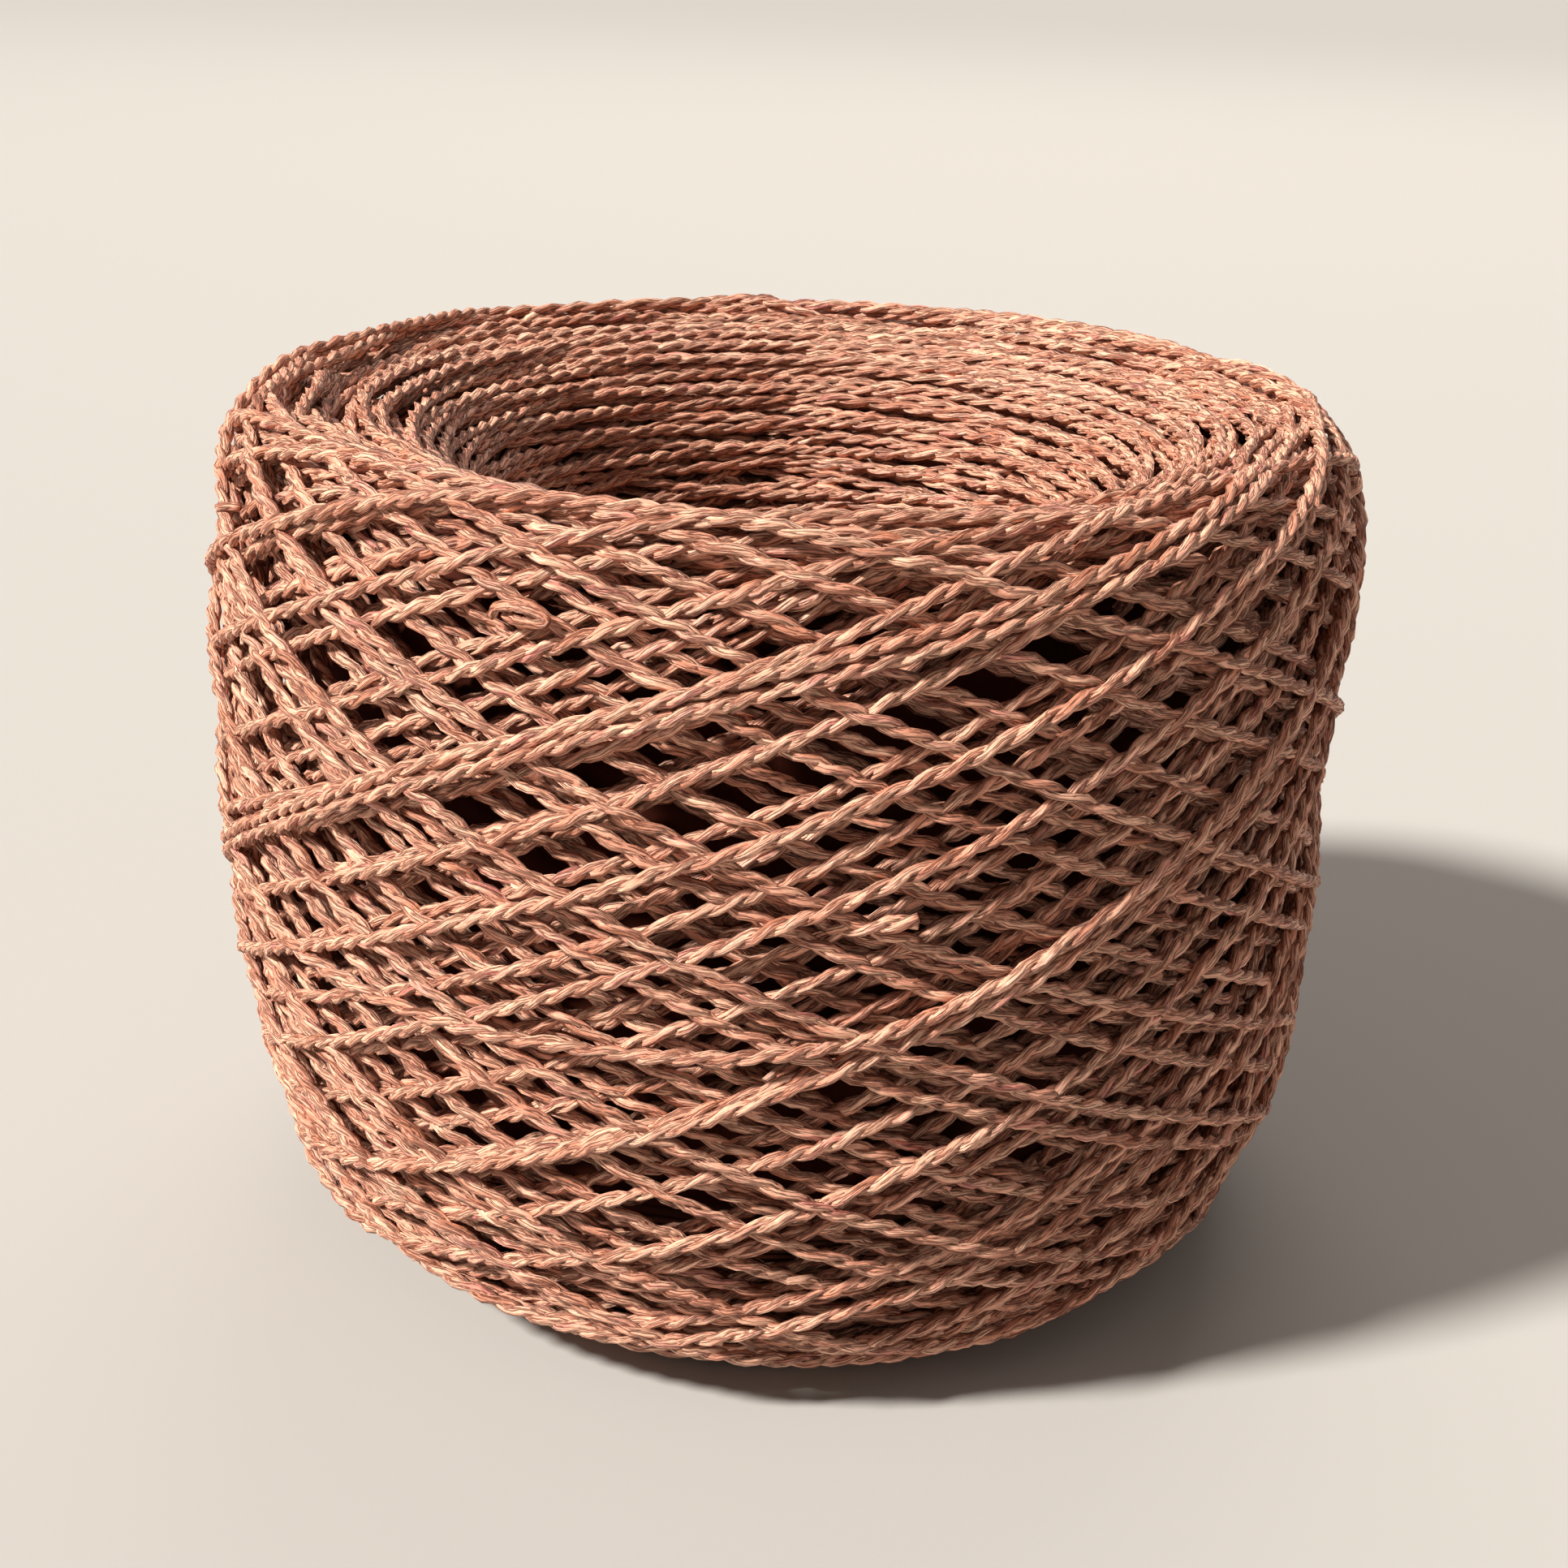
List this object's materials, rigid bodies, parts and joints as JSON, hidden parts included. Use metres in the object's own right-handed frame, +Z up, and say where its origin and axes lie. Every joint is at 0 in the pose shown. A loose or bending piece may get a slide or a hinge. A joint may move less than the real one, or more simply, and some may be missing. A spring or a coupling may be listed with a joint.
{
  "type": "ball of paper raffia yarn",
  "caption": "Cross-wound ball of two-ply paper raffia yarn with a dished top and a hole through its middle.",
  "frame": {"origin": "centre of the bounding box at the surface that the ball stands on", "axes": "+Z up along the hole, +X to the right and +Y away in the picture's view"},
  "size_m": [0.1178, 0.119, 0.09],
  "materials": {
    "paper_raffia": "twisted peach-pink paper, matt with a faint sheen along each strand"
  },
  "bodies": {
    "root": {"yarn_ball": "paper_raffia"}
  },
  "joints": []
}
